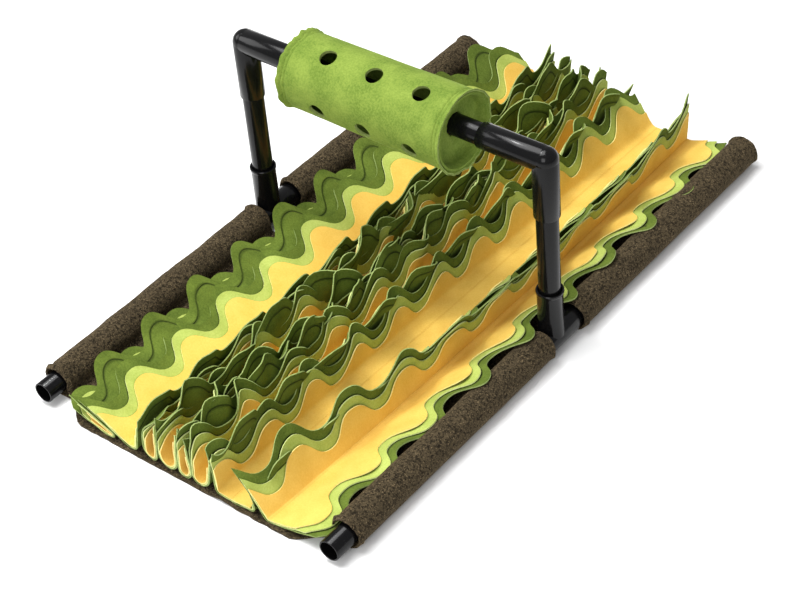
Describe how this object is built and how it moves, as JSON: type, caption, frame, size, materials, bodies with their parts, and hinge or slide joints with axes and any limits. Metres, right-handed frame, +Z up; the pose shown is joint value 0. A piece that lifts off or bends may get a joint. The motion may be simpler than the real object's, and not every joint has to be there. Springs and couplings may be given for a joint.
{
  "type": "interactive feeding mat with tube frame",
  "caption": "Pet feeding mat: wavy felt strips sewn in rows on a fleece base, held by tube rails, with a perforated felt roller on an arch.",
  "frame": {"origin": "on the floor, under the middle of the mat's overall box", "axes": "+Z up, +Y along the rails from the front edge to the back, +X from the left rail to the right rail"},
  "size_m": [0.3946, 0.699, 0.2673],
  "materials": {
    "black_plastic": "gloss",
    "olive_fleece": "brushed fleece",
    "roller_felt": "felt",
    "green_felt": "felt",
    "lime_felt": "felt",
    "yellow_felt": "felt"
  },
  "bodies": {
    "root": {"crossbar": "black_plastic", "rail_front_left": "black_plastic", "rail_front_right": "black_plastic", "rail_back_left": "black_plastic", "rail_back_right": "black_plastic", "tee_left": "black_plastic", "tee_right": "black_plastic", "upright_left": "black_plastic", "upright_right": "black_plastic", "elbow_left": "black_plastic", "elbow_right": "black_plastic", "base_cloth": "olive_fleece", "roller_wall": "roller_felt", "roller_end_left": "roller_felt", "roller_end_right": "roller_felt", "row_1_green": "green_felt", "row_1_lime": "lime_felt", "row_1_yellow": "yellow_felt", "row_2_green": "green_felt", "row_2_lime": "lime_felt", "row_2_yellow": "yellow_felt", "row_3_green": "green_felt", "row_3_lime": "lime_felt", "row_3_yellow": "yellow_felt", "row_4_green": "green_felt", "row_4_lime": "lime_felt", "row_4_yellow": "yellow_felt", "row_5_green": "green_felt", "row_5_lime": "lime_felt", "row_5_yellow": "yellow_felt", "row_6_green": "green_felt", "row_6_lime": "lime_felt", "row_6_yellow": "yellow_felt", "row_7_green": "green_felt", "row_7_lime": "lime_felt", "row_7_yellow": "yellow_felt", "row_8_green": "green_felt", "row_8_lime": "lime_felt", "row_8_yellow": "yellow_felt"}
  },
  "joints": []
}
